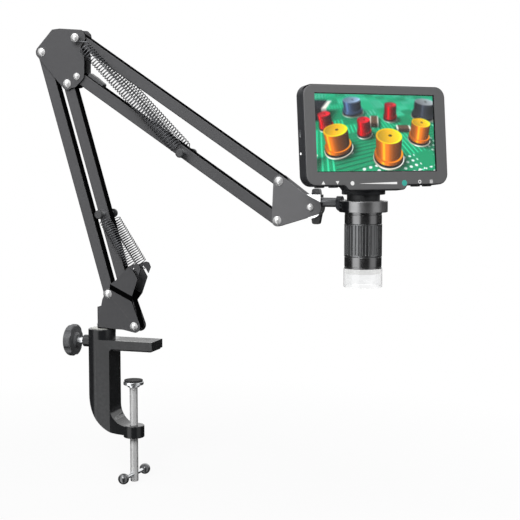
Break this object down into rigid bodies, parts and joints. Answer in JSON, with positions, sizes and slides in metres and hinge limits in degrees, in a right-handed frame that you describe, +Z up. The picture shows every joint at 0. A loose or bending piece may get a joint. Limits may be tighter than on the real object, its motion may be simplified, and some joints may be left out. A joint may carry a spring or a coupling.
{
  "type": "lcd digital microscope",
  "caption": "Digital microscope with its own flat screen, held over a table by a spring-balanced folding boom arm with a screw clamp.",
  "frame": {"origin": "on the clamp screw's axis, in the plane of the top pad's underside, which is the top of the table", "axes": "+Z up, +X along the arm from the clamp towards the microscope, -Y towards the screen and the near plates"},
  "size_m": [0.5027, 0.1468, 0.5599],
  "materials": {
    "casting": "black powder coat on a cast frame",
    "rubber": "matt black rubber",
    "nylon": "natural nylon",
    "plated": "bright zinc plate",
    "ball": "polished black plastic",
    "knob": "black moulded plastic",
    "plate": "dark grey powder coat",
    "tube": "dark grey powder coat",
    "cap": "bright domed cap",
    "spring": "dark oiled spring wire",
    "block": "polished chrome",
    "rod": "satin black",
    "barrel": "dark anodised aluminium",
    "clear": "clear plastic",
    "lens": "coated lens",
    "board": "green circuit board",
    "led_board": "white circuit board with white lamps",
    "bezel": "grey satin plastic",
    "shell": "dark grey textured plastic",
    "glass": "cover glass",
    "screen": "screen showing a live view",
    "battery": "foil pouch",
    "screw": "blackened steel"
  },
  "bodies": {
    "clamp": {"clamp_frame": "casting", "clamp_top_pad": "rubber", "post_bushing": "nylon"},
    "clamp_foot": {"pressure_disc": "plated", "disc_pad": "rubber"},
    "clamp_spindle": {"clamp_screw": "plated", "tommy_bar": "plated", "tommy_balls": "ball"},
    "lock": {"lock_knob": "knob", "lock_screw": "plated"},
    "swivel": {"swivel_shaft": "plated", "base_bracket": "plate", "base_pivot_bolts": "plated", "base_caps": "cap", "base_washers": "nylon"},
    "lower_rear": {"lower_rear_tube": "tube"},
    "lower_front": {"lower_front_tube": "tube", "lower_spring_bolt": "plated", "lower_spring_nuts": "knob", "lower_springs": "spring"},
    "elbow": {"elbow_plates": "plate", "elbow_pivot_bolts": "plated", "elbow_caps": "cap", "elbow_washers": "nylon"},
    "upper_top": {"upper_top_tube": "tube"},
    "upper_bottom": {"upper_bottom_tube": "tube", "upper_spring_bolt": "plated", "upper_spring_nuts": "knob", "upper_springs": "spring", "elbow_bumper": "rubber"},
    "end": {"end_bracket": "plate", "end_pivot_bolts": "plated", "end_caps": "cap", "end_washers": "nylon", "tilt_bolt": "cap"},
    "tilt": {"swivel_block": "block"},
    "wing": {"wing_knob": "knob"},
    "roll": {"mount_rod": "rod", "ring_clamp": "barrel", "ring_screw": "screw"},
    "scope": {"barrel": "barrel", "nose_ring": "barrel", "clear_shroud": "clear", "led_ring_board": "led_board", "objective_lens": "lens", "sensor_board": "board", "front_bezel": "bezel", "back_shell": "shell", "cover_glass": "glass", "lcd_panel": "screen", "main_board": "board", "battery": "battery", "usb_socket": "plated", "housing_screws": "screw"},
    "focus": {"focus_ring": "barrel"},
    "key_up": {"button_up": "shell"},
    "key_down": {"button_down": "shell"},
    "key_record": {"button_record": "shell"},
    "key_ok": {"button_ok": "shell"},
    "key_menu": {"button_menu": "shell"}
  },
  "joints": [
    {"name": "foot_slide", "type": "slide", "parent": "clamp", "child": "clamp_foot", "axis": [0, 0, 1], "range_m": [-0.044, 0.036]},
    {"name": "clamp_screw_turn", "type": "hinge", "parent": "clamp_foot", "child": "clamp_spindle", "pos_m": [0, 0, -0.157], "axis": [0, 0, 1], "range_deg": [-7930, 6490]},
    {"name": "lock_knob_turn", "type": "hinge", "parent": "clamp", "child": "lock", "pos_m": [-0.042, 0, 0.008], "axis": [1, 0, 0], "range_deg": [-180, 180]},
    {"name": "arm_swivel", "type": "hinge", "parent": "clamp", "child": "swivel", "pos_m": [-0.042, 0, 0.02], "axis": [0, 0, 1], "range_deg": [-130, 130]},
    {"name": "lower_arm_fold", "type": "hinge", "parent": "swivel", "child": "lower_rear", "pos_m": [-0.029, 0, 0.0691], "axis": [0, 1, 0], "range_deg": [-8, 60]},
    {"name": "lower_front_follow", "type": "hinge", "parent": "swivel", "child": "lower_front", "pos_m": [0.0055, 0, 0.0301], "axis": [0, 1, 0], "range_deg": [-8, 60], "deforming": ["lower_springs"]},
    {"name": "elbow_level", "type": "hinge", "parent": "lower_rear", "child": "elbow", "pos_m": [-0.11521, 0, 0.36583], "axis": [0, 1, 0], "range_deg": [-60, 8]},
    {"name": "upper_arm_fold", "type": "hinge", "parent": "elbow", "child": "upper_top", "pos_m": [-0.06556, 0, 0.38153], "axis": [0, 1, 0], "range_deg": [-60, 25]},
    {"name": "upper_bottom_follow", "type": "hinge", "parent": "elbow", "child": "upper_bottom", "pos_m": [-0.06756, 0, 0.33553], "axis": [0, 1, 0], "range_deg": [-60, 25], "deforming": ["upper_springs"]},
    {"name": "end_level", "type": "hinge", "parent": "upper_top", "child": "end", "pos_m": [0.19122, 0, 0.20963], "axis": [0, 1, 0], "range_deg": [-25, 60]},
    {"name": "head_tilt", "type": "hinge", "parent": "end", "child": "tilt", "pos_m": [0.22932, 0, 0.17963], "axis": [0, 1, 0], "range_deg": [-20, 60]},
    {"name": "wing_knob_turn", "type": "hinge", "parent": "end", "child": "wing", "pos_m": [0.22932, 0.019, 0.17963], "axis": [0, 1, 0], "range_deg": [-180, 180]},
    {"name": "rod_roll", "type": "hinge", "parent": "tilt", "child": "roll", "pos_m": [0.24932, 0, 0.18543], "axis": [1, 0, 0], "range_deg": [-30, 30]},
    {"name": "scope_turn", "type": "hinge", "parent": "roll", "child": "scope", "pos_m": [0.29002, 0, 0.18083], "axis": [0, 0, 1], "range_deg": [-15, 110]},
    {"name": "focus_turn", "type": "hinge", "parent": "scope", "child": "focus", "pos_m": [0.29002, 0, 0.14274], "axis": [0, 0, 1], "range_deg": [-150, 150]},
    {"name": "press_up", "type": "slide", "parent": "scope", "child": "key_up", "axis": [-0.066, 0.0695, 0.9954], "range_m": [0, 0.0006], "stiffness_N_per_m": 800},
    {"name": "press_down", "type": "slide", "parent": "scope", "child": "key_down", "axis": [-0.066, 0.0695, 0.9954], "range_m": [0, 0.0006], "stiffness_N_per_m": 800},
    {"name": "press_record", "type": "slide", "parent": "scope", "child": "key_record", "axis": [-0.066, 0.0695, 0.9954], "range_m": [0, 0.0006], "stiffness_N_per_m": 800},
    {"name": "press_ok", "type": "slide", "parent": "scope", "child": "key_ok", "axis": [-0.066, 0.0695, 0.9954], "range_m": [0, 0.0006], "stiffness_N_per_m": 800},
    {"name": "press_menu", "type": "slide", "parent": "scope", "child": "key_menu", "axis": [-0.066, 0.0695, 0.9954], "range_m": [0, 0.0006], "stiffness_N_per_m": 800}
  ],
  "couplings": [
    {"joint": "clamp_screw_turn", "follows": "foot_slide", "rad_per_m": 3141.6},
    {"joint": "lower_front_follow", "follows": "lower_arm_fold", "ratio": 1},
    {"joint": "elbow_level", "follows": "lower_arm_fold", "ratio": -1},
    {"joint": "upper_bottom_follow", "follows": "upper_arm_fold", "ratio": 1},
    {"joint": "end_level", "follows": "upper_arm_fold", "ratio": -1}
  ]
}
